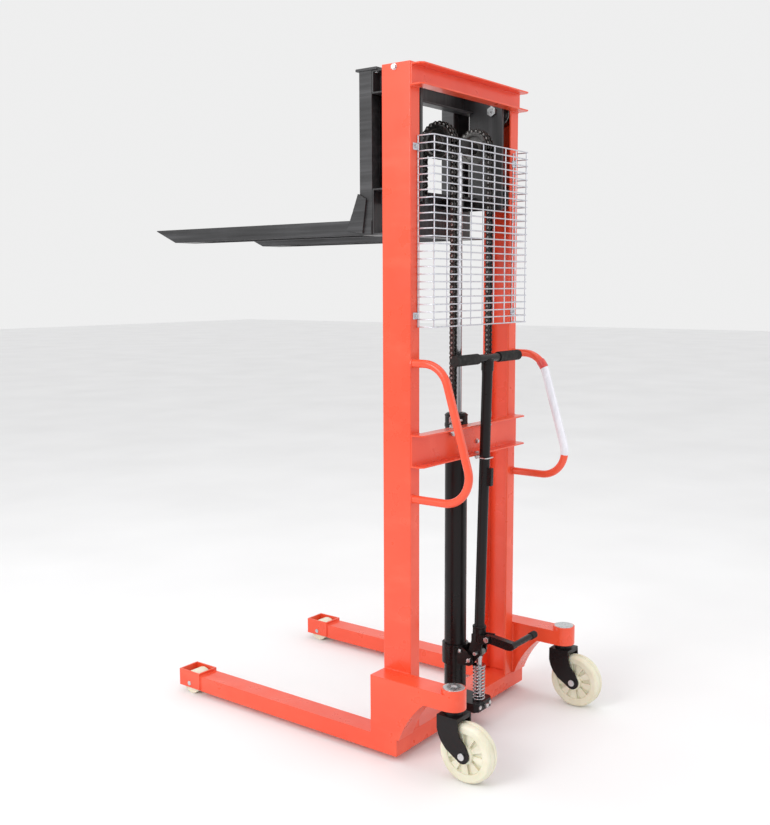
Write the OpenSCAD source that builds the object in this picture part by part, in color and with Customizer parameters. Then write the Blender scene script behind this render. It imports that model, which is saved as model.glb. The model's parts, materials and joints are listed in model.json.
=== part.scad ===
// Hand-operated walkie stacker: a straddle frame on two legs, a two-column mast with a wire guard,
// a hydraulic ram that lifts a chain-driven fork carriage, and a pump with a long T-handle.
// +X is the machine's right, +Y is the way the forks point, +Z is up, and the floor is z = 0.
// Inside the modules y = 0 is the rear face of the mast columns; at_mast() moves that to its place.

/* [Mast] */
// Height of the column tops above the floor
mast_h = 2105; // [1750:1:2600]
// Width over the outside of both columns
mast_w = 626; // [540:1:760]
// Front-to-back depth of a column channel
col_d = 104; // [96:1:125]
// Flange width of a column channel
col_flange = 48; // [44:1:60]
// Web thickness of a column channel
col_web = 6; // [5:0.5:8]
// Flange thickness of a column channel
col_lip = 8; // [6:0.5:10]
// Height of the upper cross channel
top_beam_h = 63; // [50:1:76]
// Drop from the column tops to the top of the upper cross channel
top_beam_drop = 7; // [5:1:20]
// Height of the middle cross channel
mid_beam_h = 100; // [83:1:120]
// Height of the underside of the middle cross channel above the floor
mid_beam_z = 912; // [780:1:1000]
// How far the cross channels' flanges stand out behind the columns
beam_flange = 44; // [38:1:50]
// Sheet thickness of the cross channels
beam_t = 5; // [4:0.5:7]

/* [Base] */
// Height of the underside of the legs above the floor
base_z = 21; // [18:1:25]
// Height of the leg and base beam section
base_h = 54; // [48:1:65]
// Width of a leg
leg_w = 75; // [66:1:90]
// Wall of the leg and base beam tubes
leg_t = 5; // [4:0.5:6]
// Reach of a leg tube in front of the mast's rear face
leg_l = 872; // [730:1:1050]
// Length of the fork-shaped roller box at the leg's end
box_l = 102; // [100:1:120]
// Height of the roller box
box_h = 60; // [54:1:70]
// How much wider than the leg a roller box is on each side
box_lip = 5; // [4:0.5:8]
// Plate thickness of the roller box
box_t = 6; // [5:0.5:7]
// Height of the roller box's underside above the floor
box_z = 25; // [22:1:28]
// Diameter of a front load roller
roller_d = 80; // [68:1:84]
// Width of a front load roller
roller_w = 66; // [50:1:68]
// Diameter of a front roller axle
roller_axle_d = 16; // [12:1:20]

/* [Skirts and casters] */
// Height of the top of the skirts and caster arms
skirt_h = 262; // [250:1:300]
// How far a skirt's front edge stands in front of the mast's rear face
skirt_front = 100; // [85:1:110]
// Sheet thickness of a skirt
skirt_t = 5; // [4:0.5:6]
// Distance of the swivel axis behind the mast's rear face
swivel_y = 184.5; // [170:0.5:200]
// Height of the underside of the swivel tube
swivel_z = 212; // [208:1:230]
// Height of a swivel tube
swivel_h = 64; // [56:1:76]
// Diameter of a kingpin
kingpin_d = 20; // [16:1:24]
// Diameter of the cap on a swivel tube
cap_d = 66; // [56:1:70]
// Radius of the arch under a caster arm
arch_r = 330; // [275:1:396]
// Distance of the arch's foot behind the mast's rear face
arch_foot = 8; // [6:1:10]
// Distance of the arch's upper end behind the mast's rear face
arch_end = 100; // [84:1:106]
// Diameter of a caster wheel
wheel_d = 180; // [150:1:184]
// Width of a caster wheel's tread
wheel_w = 48; // [40:1:56]
// Distance of the wheel axle behind the swivel axis
trail = 52.5; // [44:0.5:60]
// Width of the gap between the caster fork's legs
fork_gap = 64; // [62:1:68]
// Plate thickness of the caster fork
fork_t = 6; // [5:0.5:8]
// Diameter of the caster axle
axle_d = 16; // [14:1:20]

/* [Lift] */
// Distance of the ram's axis in front of the mast's rear face
ram_y = 40; // [38.5:0.5:44]
// Outside diameter of the lift cylinder
cyl_d = 73; // [60:1:75]
// Wall of the lift cylinder
cyl_t = 6.5; // [5:0.5:8]
// Height of the gland nut on the cylinder
gland_h = 47; // [40:1:56]
// Diameter of the piston rod
rod_d = 34; // [28:1:40]
// Pitch diameter of a chain sheave
sheave_d = 112; // [100:1:118]
// Height of the sheave axle below the column tops
sheave_drop = 207; // [172:1:248]
// Distance of each chain from the middle of the mast
chain_x = 105; // [90:1:125]
// Width of a chain
chain_w = 24; // [20:1:29]
// Height of a chain link's side plate
chain_h = 18; // [15:1:20]
// Diameter of the sheave axle
sheave_axle_d = 25; // [20:1:30]

/* [Carriage] */
// Height from the underside of the forks to the carriage's top plate
carriage_h = 498; // [430:1:600]
// How far the raised carriage stands above the column tops
carriage_over = 7; // [4:1:12]
// Height of the forks' underside when fully lowered
fork_low = 44; // [36:1:52]
// Width over the outside of both forks
forks_w = 550; // [500:1:580]
// Width of one fork
fork_w = 100; // [84:1:120]
// Thickness of a fork blade at the heel
fork_h = 46; // [40:1:55]
// Reach of the fork tips in front of the mast's rear face
fork_reach = 1164; // [970:1:1400]
// Length of the bevel at a fork's tip
fork_nose = 98; // [80:1:120]
// Depth of a fork shank channel
shank_d = 48; // [40:1:58]
// Distance of the shanks' rear side in front of the mast's rear face
shank_y = 171; // [168:1:190]
// Sheet thickness of fork and crossbar channels
carriage_t = 6; // [5:0.5:7]
// Height of the lower crossbar
low_bar_h = 140; // [120:1:160]
// Height of the upper crossbar
high_bar_h = 70; // [58:1:84]
// Thickness of a carriage side plate
plate_t = 12; // [10:1:14]
// Distance of the side plates' outer faces from the middle
plate_x = 241; // [225:1:246]
// Distance between the upper and lower guide rollers
guide_pitch = 280; // [240:1:300]
// Drop from the column tops to the upper guide rollers
guide_drop = 71; // [62:1:84]
// Width of a guide roller
guide_w = 32; // [26:1:36]
// Diameter of a guide roller pin
guide_pin_d = 24; // [20:1:28]
// Side clearance of a guide roller in its channel
guide_gap = 0.5; // [0.3:0.1:1]

/* [Pump] */
// Distance of the pump plunger's axis behind the mast's rear face
plunger_y = 54.5; // [50:0.5:60]
// Diameter of the pump plunger
plunger_d = 18; // [14:1:22]
// Outside diameter of the pump spring
spring_d = 42; // [36:1:46]
// Wire diameter of the pump spring
spring_wire = 5; // [3:0.5:6]
// Height of the pump block's top face
block_top = 92; // [85:1:100]
// Height of the pump block behind the base beam
block_h = 30; // [25:1:34]
// How far the pump block stands out behind the mast's rear face
block_d = 78; // [77:1:94]
// Height of the pump spring at rest
spring_h = 115; // [104:1:118]
// Height of the lever pin's axis
lever_z = 230; // [225:1:240]
// Distance of the lever pin behind the mast's rear face
lever_y = 34; // [32:0.5:38]
// Diameter of the lever roller
lever_roller_d = 30; // [26:1:34]
// Height of the lever roller's axis above the lever pin
lever_roller_up = 28; // [24:1:32]
// Distance of the lever roller's axis behind the lever pin
lever_roller_back = 24; // [22:1:28]
// Diameter of the handle tube
handle_d = 34; // [29:1:38]
// Length of the handle from its socket to the T-bar's axis
handle_l = 924; // [770:1:1000]
// Backward lean of the handle
handle_tilt = 1.5; // [0.5:0.1:3]
// Length of the T-bar
tbar_l = 380; // [320:1:456]
// Diameter of the T-bar
tbar_d = 26; // [22:1:28]
// Wall of a rubber grip
grip_t = 4; // [3:0.5:5]
// Length of a rubber grip
grip_l = 128; // [100:1:130]
// Length of the foot pedal's cross bar
pedal_l = 147; // [122:1:176]

/* [Guard and grab handles] */
// Height of the wire guard
guard_h = 564; // [470:1:600]
// Width of the wire guard
guard_w = 562; // [534:1:590]
// How far the wire guard stands off behind the columns
guard_d = 62; // [54:1:72]
// Wire diameter of the guard
wire_d = 4; // [3:0.5:5]
// Number of horizontal wires
wires_h = 26; // [18:1:32]
// Number of vertical wires in the rear panel
wires_v = 9; // [7:1:12]
// Diameter of a grab handle tube
grab_d = 25; // [20:1:30]
// Height of a grab handle's lower leg
grab_z = 814; // [700:1:900]
// Height from a grab handle's lower leg to its upper leg
grab_h = 414; // [345:1:480]
// How far the upper corner stands out behind the columns
grab_top_y = 106; // [95:1:125]
// How far the lower corner stands out behind the columns
grab_low_y = 230; // [210:1:260]
// Bend radius of a grab handle
grab_r = 85; // [71:1:100]

/* [Hidden] */

// Radial clearance of a shaft in its hole
fit = 0.05;
// Gap between parts that pass or turn beside each other
gap = 0.3;
LEFT = -1;
RIGHT = 1;
ORANGE = "#E8503A";
BLACK = "#25252A";
STEEL = "#B9BCC0";
NYLON = "#E9E6D2";
CHAIN = "#3A3A3C";

col_x = mast_w / 2;
base_top = base_z + base_h;
leg_x = col_x + leg_w / 2;
mast_y = -(fork_reach - swivel_y - trail - wheel_d / 2) / 2;
box_y = leg_l + box_l / 2 + 1;
roller_z = roller_d / 2;
swivel_r = leg_w / 2;
arch_span = norm([arch_end - arch_foot, swivel_z - base_top]);
arch_rise = sqrt(arch_r * arch_r - arch_span * arch_span / 4) / arch_span;
arch_y = -(arch_foot + arch_end) / 2 - (swivel_z - base_top) * arch_rise;
arch_z = (swivel_z + base_top) / 2 - (arch_end - arch_foot) * arch_rise;
wheel_z = wheel_d / 2;
crown_top = swivel_z - 14;
hub_w = fork_gap - 4;

top_beam_z = mast_h - top_beam_drop - top_beam_h;
mid_beam_top = mid_beam_z + mid_beam_h;

fork_z = mast_h + carriage_over - carriage_h;
travel = fork_z - fork_low;
ram_travel = travel / 2;
sheave_z = mast_h - sheave_drop;
sheave_r = sheave_d / 2;
core_r = sheave_r - chain_h / 2 - gap;
sheave_in = chain_w / 2 + gap;
sheave_out = sheave_in + 2;
cyl_top = sheave_z - ram_travel - sheave_r - chain_h / 2 - 1;
cyl_r = cyl_d / 2;
bore_r = cyl_r - cyl_t;
rod_low = block_top + ram_travel + 10;
rear_chain_y = ram_y - sheave_r;
front_chain_y = ram_y + sheave_r;
anchor_z = mid_beam_top + 32;

fork_x = forks_w / 2;
heel_y = shank_y + shank_d;
carriage_top = mast_h + carriage_over;
cap_t = 8;
high_bar_z = carriage_top - cap_t - high_bar_h;
low_bar_d = 58;
high_bar_d = 43;
web_y = shank_y - carriage_t;
bracket_h = 30;
bracket_z = fork_z + low_bar_h - 14 - bracket_h;
guide_y = col_d / 2;
guide_r = guide_y - col_lip - guide_gap;
guide_z_high = mast_h - guide_drop;
guide_z_low = guide_z_high - guide_pitch;
guide_x = col_x - col_web - 7 - guide_w;
plate_y = 14;

roller_y2 = -lever_y - lever_roller_back;
roller_z2 = lever_z + lever_roller_up;
plunger_top = roller_z2 - lever_roller_d / 2 - gap;
seat_z = block_top + spring_h;
socket_y = -54;
socket_z = 306;
lever_gap = 12;
hook_x = handle_d / 2 + 5;
hook_y = 26;
lever_t = 8;
ear_x = lever_gap + lever_t + 4;
ear_t = 8;
pedal_y = -180;
pedal_z = 300;
pedal_bolt_y = -94.5;
pedal_bolt_z = 309;

guard_top = mast_h - sheave_drop;
guard_low = guard_top - guard_h;
clip_z = [guard_top - 34, guard_low + 35];
clip_x = guard_w / 2 + 10;

// Moves the mast's rear face to its place in the part's frame
module at_mast() { translate([0, mast_y, 0]) children(); }

// Draws a right-hand piece, or its mirror image for the left
module on_side(side) { if (side == RIGHT) children(); else mirror([1, 0, 0]) children(); }

// Draws a right-hand piece and its mirror image
module pair() { children(); mirror([1, 0, 0]) children(); }

// Round bar along X
module bar_x(x0, x1, y, z, r) {
    translate([x0, y, z]) rotate([0, 90, 0]) cylinder(h = x1 - x0, r = r, $fn = 48);
}

// Round bar along Y
module bar_y(y0, y1, x, z, r) {
    translate([x, y0, z]) rotate([-90, 0, 0]) cylinder(h = y1 - y0, r = r, $fn = 48);
}

// Upright round bar
module bar_z(z0, z1, x, y, r) { translate([x, y, z0]) cylinder(h = z1 - z0, r = r, $fn = 48); }

// Hexagon bolt head or nut along X, across_corners wide
module hex_x(x0, x1, y, z, r) { translate([x0, y, z]) rotate([0, 90, 0]) cylinder(h = x1 - x0, r = r, $fn = 6); }

// Block between two corners
module block(a, b) { translate(a) cube(b - a); }

// Plate with a YZ outline between two X values
module plate_yz(x0, x1, outline) {
    translate([x0, 0, 0]) rotate([90, 0, 90]) linear_extrude(x1 - x0) polygon(outline);
}

// Channel along X: back at y0, flanges reaching to y1, between two heights
module channel_x(x, y0, y1, z0, z1, t) {
    web = y0 < y1 ? [y0, y0 + t] : [y0 - t, y0];
    low = min(y0, y1);
    high = max(y0, y1);
    block([-x, web[0], z0], [x, web[1], z1]);
    block([-x, low, z0], [x, high, z0 + t]);
    block([-x, low, z1 - t], [x, high, z1]);
}

module column(side) color(ORANGE) at_mast() on_side(side) {
    block([col_x - col_web, 0, base_top], [col_x, col_d, mast_h]);
    block([col_x - col_flange, 0, base_top], [col_x, col_lip, mast_h]);
    block([col_x - col_flange, col_d - col_lip, base_top], [col_x, col_d, mast_h]);
}
module column_left() { column(LEFT); }
module column_right() { column(RIGHT); }

module top_beam() color(ORANGE) at_mast() {
    channel_x(col_x, 0, -beam_flange, top_beam_z, top_beam_z + top_beam_h, beam_t);
}

module mid_beam() color(ORANGE) at_mast() difference() {
    channel_x(col_x, 0, -beam_flange, mid_beam_z, mid_beam_top, beam_t);
    for (side = [LEFT, RIGHT]) bar_z(mid_beam_top - 20, mid_beam_top + 1, side * chain_x, rear_chain_y, 7 + fit);
    bar_z(mid_beam_z - 1, mid_beam_z + beam_t + 1, hook_x, -hook_y, 4 + fit);
}

module base_beam() color(ORANGE) at_mast() difference() {
    block([-col_x, 0, base_z], [col_x, col_d, base_top]);
    block([-col_x - 1, leg_t, base_z + leg_t], [col_x + 1, col_d - leg_t, base_top - leg_t]);
}

module leg(side) color(ORANGE) at_mast() on_side(side) {
    half = leg_w / 2 + box_lip;
    difference() {
        block([col_x, 0, base_z], [col_x + leg_w, leg_l, base_top]);
        block([col_x + leg_t, leg_t, base_z + leg_t], [col_x + leg_w - leg_t, leg_l + 1, base_top - leg_t]);
    }
    difference() {
        block([leg_x - half, leg_l, box_z], [leg_x + half, leg_l + box_l, box_z + box_h]);
        block([leg_x - half + box_t, leg_l + box_t, box_z - 1],
            [leg_x + half - box_t, leg_l + box_l - box_t, box_z + box_h + 1]);
        bar_x(leg_x - half - 1, leg_x + half + 1, box_y, roller_z, roller_axle_d / 2 + fit);
    }
}
module leg_left() { leg(LEFT); }
module leg_right() { leg(RIGHT); }

// Space under a caster arm: behind the arch and below the arm, grown by a sheet's thickness
module under_arm(grow) {
    low = [col_x - 1, -swivel_y - 1, base_top - 1];
    intersection() {
        bar_x(col_x - 1, col_x + leg_w + 1, arch_y, arch_z, arch_r + grow);
        block(low, [col_x + leg_w + 1, 0, swivel_z + grow]);
    }
    block(low, [col_x + leg_w + 1, -arch_end, swivel_z + grow]);
}

// Folded sheet over the leg and the caster arm: top, two cheeks, a front, and a curved sheet under the arm
module skirt(side) color(ORANGE) at_mast() on_side(side) difference() {
    block([col_x, -swivel_y, base_top], [col_x + leg_w, skirt_front, skirt_h]);
    difference() {
        block([col_x + skirt_t, -swivel_y - 1, base_top - 1],
            [col_x + leg_w - skirt_t, skirt_front - skirt_t, skirt_h - skirt_t]);
        under_arm(skirt_t);
    }
    under_arm(0);
    bar_z(swivel_z - 1, skirt_h + 1, leg_x, -swivel_y, swivel_r);
}
module skirt_left() { skirt(LEFT); }
module skirt_right() { skirt(RIGHT); }

module swivel_tubes() color(ORANGE) at_mast() pair() difference() {
    bar_z(swivel_z, swivel_z + swivel_h, leg_x, -swivel_y, swivel_r);
    bar_z(swivel_z - 1, swivel_z + swivel_h + 1, leg_x, -swivel_y, kingpin_d / 2 + fit);
}

module swivel_caps() color(STEEL) at_mast() pair() {
    bar_z(swivel_z + swivel_h, swivel_z + swivel_h + 3, leg_x, -swivel_y, cap_d / 2);
}

// Tube swept in the plane of y and z through stations [y, z, angle of the outward normal from +Y]
module swept_tube(stations, r, sides) {
    n = len(stations);
    points = [for (s = stations, j = [0 : sides - 1]) let (t = 360 * j / sides)
        [r * sin(t), s[0] + r * cos(t) * cos(s[2]), s[1] + r * cos(t) * sin(s[2])]];
    walls = [for (i = [0 : n - 2], j = [0 : sides - 1]) let (k = (j + 1) % sides, a = i * sides, b = a + sides)
        each [[a + j, b + k, b + j], [a + j, a + k, b + k]]];
    ends = [[for (j = [sides - 1 : -1 : 0]) j], [for (j = [0 : sides - 1]) (n - 1) * sides + j]];
    polyhedron(points, concat(walls, ends));
}

// Stations along a bend of radius r round (y, z) between two angles
function bend(y, z, r, from, to, steps) = [for (i = [0 : steps]) let (a = from + (to - from) * i / steps)
    [y + r * cos(a), z + r * sin(a), a]];

// Bent tube: rearward, down with a lean, and forward again
module grab_handle(side) color(ORANGE) at_mast() translate([side * (col_x - grab_d / 2), 0, 0]) {
    lean = atan2(grab_low_y - grab_top_y, grab_h);
    top_y = grab_r * tan((90 - lean) / 2) - grab_top_y;
    low_y = grab_r * tan((90 + lean) / 2) - grab_low_y;
    swept_tube(concat([[0, grab_z + grab_h, 90]],
        bend(top_y, grab_z + grab_h - grab_r, grab_r, 90, 180 - lean, 10),
        bend(low_y, grab_z + grab_r, grab_r, 180 - lean, 270, 14), [[0, grab_z, 270]]), grab_d / 2, 20);
}
module grab_handle_left() { grab_handle(LEFT); }
module grab_handle_right() { grab_handle(RIGHT); }

// Wire guard: a welded grid bent round to the columns, with four screw tabs
module wire_guard() color(STEEL) at_mast() {
    w = wire_d;
    x = guard_w / 2;
    for (i = [0 : wires_h - 1]) {
        z = guard_low + i * (guard_h - w) / (wires_h - 1);
        block([-x, -guard_d, z], [x, -guard_d + w, z + w]);
        pair() block([x - w, -guard_d, z], [x, -w, z + w]);
    }
    for (i = [0 : wires_v - 1]) {
        v = -x + w + i * (guard_w - 3 * w) / (wires_v - 1);
        block([v, -guard_d + w, guard_low], [v + w, -guard_d + 2 * w, guard_top]);
    }
    pair() block([x - w, -w, guard_low], [x, -gap, guard_top]);
    pair() for (z = clip_z) block([x, -w, z - 10], [clip_x + 10, 0, z + 10]);
}

// Bolts: two in the mast's top, and the guard's four tab screws
module frame_bolts() color(STEEL) at_mast() {
    pair() hex_x(col_x, col_x + 8, col_d * 0.55, mast_h - 12, 9);
    pair() for (z = clip_z) translate([clip_x, -wire_d, z]) rotate([90, 0, 0]) cylinder(h = 5, r = 6, $fn = 6);
}

// Threaded chain anchors with two nuts, standing in the middle beam's top flange
module chain_anchors() color(STEEL) at_mast() for (side = [LEFT, RIGHT]) translate([side * chain_x, rear_chain_y, 0]) {
    translate([0, 0, mid_beam_top - 26]) cylinder(h = 40, r = 7, $fn = 48);
    translate([0, 0, mid_beam_top]) cylinder(h = 9, r = 11, $fn = 6);
    translate([0, 0, mid_beam_top - beam_t - 9]) cylinder(h = 9, r = 11, $fn = 6);
    translate([-chain_w / 2, -8, mid_beam_top + 13]) cube([chain_w, 16, anchor_z - mid_beam_top - 13]);
}

module lift_cylinder() color(BLACK) at_mast() difference() {
    bar_z(block_top, cyl_top - gland_h, 0, ram_y, cyl_r);
    bar_z(block_top - 1, cyl_top, 0, ram_y, bore_r);
}

module cylinder_gland() color(BLACK) at_mast() difference() {
    union() {
        bar_z(cyl_top - gland_h, cyl_top, 0, ram_y, cyl_r);
        bar_z(cyl_top - gland_h, cyl_top - gland_h + 12, 0, ram_y, min(cyl_r + 2, ram_y - 1));
    }
    bar_z(cyl_top - gland_h - 1, cyl_top + 1, 0, ram_y, rod_d / 2 + fit);
}

// Pump block: a foot under the cylinder on the base beam, and a block with cut corners behind it
module pump_body() color(BLACK) at_mast() difference() {
    union() {
        block([-46, 0, base_top], [46, ram_y + 44, block_top]);
        translate([0, 0, block_top - block_h]) linear_extrude(block_h)
            polygon([[-50, 0], [50, 0], [50, 12 - block_d], [38, -block_d], [-38, -block_d], [-50, 12 - block_d]]);
    }
    bar_z(block_top - block_h - 1, block_top + 1, 0, -plunger_y, plunger_d / 2 + fit);
    bar_y(-block_d - 1, -block_d + 11, 0, block_top - block_h / 2, 5 + fit);
}

// Clamp round the cylinder with two ears that hold the lever pin
module pump_clamp() color(BLACK) at_mast() difference() {
    union() {
        bar_z(lever_z - 27, lever_z + 40, 0, ram_y, cyl_r + 7.5);
        pair() plate_yz(ear_x, ear_x + ear_t,
            [[20, lever_z - 20], [20, lever_z + 36], [0, lever_z + 36], [-lever_y - 12, lever_z + 14],
             [-lever_y - 12, lever_z - 14], [-lever_y, lever_z - 20]]);
    }
    bar_z(lever_z - 28, lever_z + 41, 0, ram_y, cyl_r);
    bar_x(-60, 60, -lever_y, lever_z, 7 + fit);
}

// Wire clip: a bolt in the middle beam's lower flange, and a hook from it round the back of the handle tube
module handle_clip() color(STEEL) at_mast() {
    back = socket_y - (mid_beam_z - 4 - socket_z) * tan(handle_tilt) - handle_d / 2 - 3;
    bar_z(mid_beam_z - 16, mid_beam_z + beam_t + 9, hook_x, -hook_y, 4);
    translate([hook_x, -hook_y, mid_beam_z + beam_t]) cylinder(h = 5, r = 7, $fn = 6);
    translate([hook_x, -hook_y, mid_beam_z - 12]) cylinder(h = 7, r = 7, $fn = 6);
    bar_y(back, -hook_y, hook_x, mid_beam_z - 4, 2);
    bar_x(-6, hook_x, back, mid_beam_z - 4, 2);
}

module roller_axles() color(STEEL) at_mast() pair() {
    half = leg_w / 2 + box_lip;
    bar_x(leg_x - half - 2, leg_x + half + 2, box_y, roller_z, roller_axle_d / 2);
}

module rear_chains() color(CHAIN) at_mast() for (side = [LEFT, RIGHT])
    translate([side * chain_x - chain_w / 2, rear_chain_y - chain_h / 2, anchor_z])
        cube([chain_w, chain_h, sheave_z - anchor_z]);

module lever_pin() color(STEEL) at_mast() bar_x(-ear_x - ear_t - 5, ear_x + ear_t + 5, -lever_y, lever_z, 7);

module piston_rod() color(STEEL) at_mast() {
    bar_z(rod_low, sheave_z - 23, 0, ram_y, rod_d / 2);
    bar_z(rod_low, rod_low + 30, 0, ram_y, bore_r - fit);
}

module crosshead() color(BLACK) at_mast() difference() {
    union() {
        block([-40, ram_y - 22, sheave_z - 23], [40, ram_y + 22, sheave_z + 23]);
        bar_x(sheave_out + 1 - chain_x, chain_x - sheave_out - 1, ram_y, sheave_z, 20);
    }
    bar_x(-chain_x, chain_x, ram_y, sheave_z, sheave_axle_d / 2 + fit);
}

module sheave_axle() color(STEEL) at_mast() {
    end = chain_x + sheave_out + 1;
    bar_x(-end - 6, end + 6, ram_y, sheave_z, sheave_axle_d / 2);
    pair() bar_x(end, end + 5, ram_y, sheave_z, sheave_axle_d / 2 + 4);
}

// Chains over the top half of each sheave
module chain_wraps() color(CHAIN) at_mast() for (side = [LEFT, RIGHT])
    translate([side * chain_x - chain_w / 2, ram_y, sheave_z]) rotate([90, 0, 90])
        rotate_extrude(angle = 180, $fn = 96) translate([sheave_r - chain_h / 2, 0]) square([chain_h, chain_w]);

module front_chains() color(CHAIN) at_mast() for (side = [LEFT, RIGHT]) {
    low = bracket_z + bracket_h;
    translate([side * chain_x - chain_w / 2, front_chain_y - chain_h / 2, low])
        cube([chain_w, chain_h, sheave_z - low]);
}

module sheave(side) color(STEEL) at_mast() on_side(side) difference() {
    union() {
        bar_x(chain_x - sheave_out, chain_x + sheave_out, ram_y, sheave_z, core_r);
        for (x = [chain_x - sheave_out, chain_x + sheave_in]) bar_x(x, x + 2, ram_y, sheave_z, core_r + 5);
    }
    bar_x(0, 2 * chain_x, ram_y, sheave_z, sheave_axle_d / 2 + fit);
}
module sheave_left() { sheave(LEFT); }
module sheave_right() { sheave(RIGHT); }

// Side plates that carry the guide rollers, with tongues welded into both crossbars
module side_plates() color(BLACK) at_mast() pair() difference() {
    low = guide_z_low - 44;
    low_top = fork_z + low_bar_h;
    plate_yz(plate_x - plate_t, plate_x, [[plate_y, low], [web_y, low], [web_y, low_top - carriage_t],
        [shank_y - low_bar_d, low_top - carriage_t], [shank_y - low_bar_d, low_top],
        [shank_y - 29, low_top], [shank_y - 29, high_bar_z], [shank_y - high_bar_d, high_bar_z],
        [shank_y - high_bar_d, high_bar_z + carriage_t], [web_y, high_bar_z + carriage_t],
        [web_y, carriage_top - cap_t - carriage_t], [plate_y, carriage_top - cap_t - carriage_t]]);
    for (z = [guide_z_low, guide_z_high]) bar_x(0, plate_x + 1, guide_y, z, guide_pin_d / 2 + fit);
}

module upper_crossbar() color(BLACK) at_mast()
    channel_x(fork_x, shank_y, shank_y - high_bar_d, high_bar_z, high_bar_z + high_bar_h, carriage_t);

module lower_crossbar() color(BLACK) at_mast()
    channel_x(fork_x, shank_y, shank_y - low_bar_d, fork_z, fork_z + low_bar_h, carriage_t);

// Fork: a channel blade with a tapered tip, an upright channel shank, a heel gusset and a top plate
module fork(side) color(BLACK) at_mast() on_side(side) {
    x = fork_x - fork_w;
    top = fork_z + fork_h;
    difference() {
        plate_yz(x, fork_x, [[shank_y, fork_z], [fork_reach - fork_nose, fork_z], [fork_reach, top - 3],
            [fork_reach, top], [shank_y, top]]);
        block([x + carriage_t, heel_y, fork_z - 1],
            [fork_x - carriage_t, fork_reach - 2 * fork_nose, top - carriage_t]);
    }
    difference() {
        block([x, shank_y, top], [fork_x, heel_y, carriage_top - cap_t]);
        block([x + carriage_t, shank_y - 1, top], [fork_x - carriage_t, heel_y - carriage_t, carriage_top]);
    }
    block([x - 4, shank_y - 22, carriage_top - cap_t], [fork_x + 4, heel_y + 11, carriage_top]);
    plate_yz(fork_x, fork_x + 8, [[heel_y - 30, fork_z + 108], [heel_y + 2, fork_z + 126],
        [heel_y + 36, fork_z + 38], [heel_y + 48, fork_z + 15], [heel_y - 15, fork_z + 5]]);
}
module fork_left() { fork(LEFT); }
module fork_right() { fork(RIGHT); }

// Stub pins of the guide rollers, and the two bolts at the ends of the upper crossbar
module carriage_pins() color(STEEL) at_mast() pair() {
    for (z = [guide_z_low, guide_z_high]) {
        bar_x(plate_x - plate_t, guide_x + guide_w, guide_y, z, guide_pin_d / 2);
        bar_x(plate_x, guide_x - gap, guide_y, z, guide_pin_d / 2 + 6);
        hex_x(plate_x - plate_t - 9, plate_x - plate_t, guide_y, z, 17);
    }
}

module chain_brackets() color(BLACK) at_mast() for (side = [LEFT, RIGHT])
    block([side * chain_x - 8, front_chain_y - chain_h / 2, bracket_z],
        [side * chain_x + 8, web_y, bracket_z + bracket_h]);

module guide_roller(side, z) color(STEEL) at_mast() on_side(side) difference() {
    bar_x(guide_x, guide_x + guide_w, guide_y, z, guide_r);
    bar_x(guide_x - 1, guide_x + guide_w + 1, guide_y, z, guide_pin_d / 2 + fit);
}
module guide_roller_upper_left() { guide_roller(LEFT, guide_z_high); }
module guide_roller_upper_right() { guide_roller(RIGHT, guide_z_high); }
module guide_roller_lower_left() { guide_roller(LEFT, guide_z_low); }
module guide_roller_lower_right() { guide_roller(RIGHT, guide_z_low); }

// Moves to the handle's socket and leans back with the handle
module at_socket() { translate([0, socket_y, socket_z]) rotate([handle_tilt, 0, 0]) children(); }

// Pump lever: two cheeks on the lever pin, a socket for the handle and a lug for the pedal
module pump_lever() color(BLACK) at_mast() difference() {
    union() {
        pair() {
            plate_yz(lever_gap, lever_gap + lever_t,
                [[-lever_y + 14, lever_z - 4], [-lever_y + 14, lever_z + 12], [-36, lever_z + 66],
                 [-36, 318], [-104, 322], [-104, 296], [-76, 290], [roller_y2 - 14, roller_z2 + 6],
                 [roller_y2 - 14, roller_z2 - 4], [-lever_y - 8, lever_z - 14], [-lever_y + 6, lever_z - 14]]);
        }
        at_socket() translate([0, 0, -12]) cylinder(h = 44, r = handle_d / 2 + 5, $fn = 48);
        block([-lever_gap, -75, 290], [lever_gap, -36, 318]);
    }
    at_socket() cylinder(h = 60, r = handle_d / 2 + fit, $fn = 48);
    bar_x(-30, 30, -lever_y, lever_z, 7 + fit);
    bar_x(-30, 30, roller_y2, roller_z2, 6 + fit);
    bar_x(-30, 30, pedal_bolt_y, pedal_bolt_z, 6 + fit);
}

// Roller pin and pedal bolt
module lever_bolts() color(STEEL) at_mast() {
    bar_x(-36, 36, roller_y2, roller_z2, 6);
    bar_x(-lever_gap - lever_t, lever_gap + lever_t, pedal_bolt_y, pedal_bolt_z, 6);
    pair() hex_x(lever_gap + lever_t, lever_gap + lever_t + 6, pedal_bolt_y, pedal_bolt_z, 10);
}

module foot_pedal() color(BLACK) at_mast() difference() {
    union() {
        plate_yz(-lever_gap + gap, lever_gap - gap, [[-80, 297], [-80, 319], [-110, 320],
            [pedal_y - 4, pedal_z + 12], [pedal_y - 12, pedal_z + 4], [pedal_y - 12, pedal_z - 5],
            [pedal_y - 3, pedal_z - 12], [pedal_y + 12, pedal_z - 14]]);
        bar_x(0, pedal_l, pedal_y, pedal_z, 10);
        bar_x(pedal_l - 30, pedal_l, pedal_y, pedal_z, 12);
    }
    bar_x(-30, 30, pedal_bolt_y, pedal_bolt_z, 6 + fit);
}

module lever_roller() color(STEEL) at_mast() difference() {
    bar_x(-lever_gap + 1, lever_gap - 1, roller_y2, roller_z2, lever_roller_d / 2);
    bar_x(-30, 30, roller_y2, roller_z2, 6 + fit);
}

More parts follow.
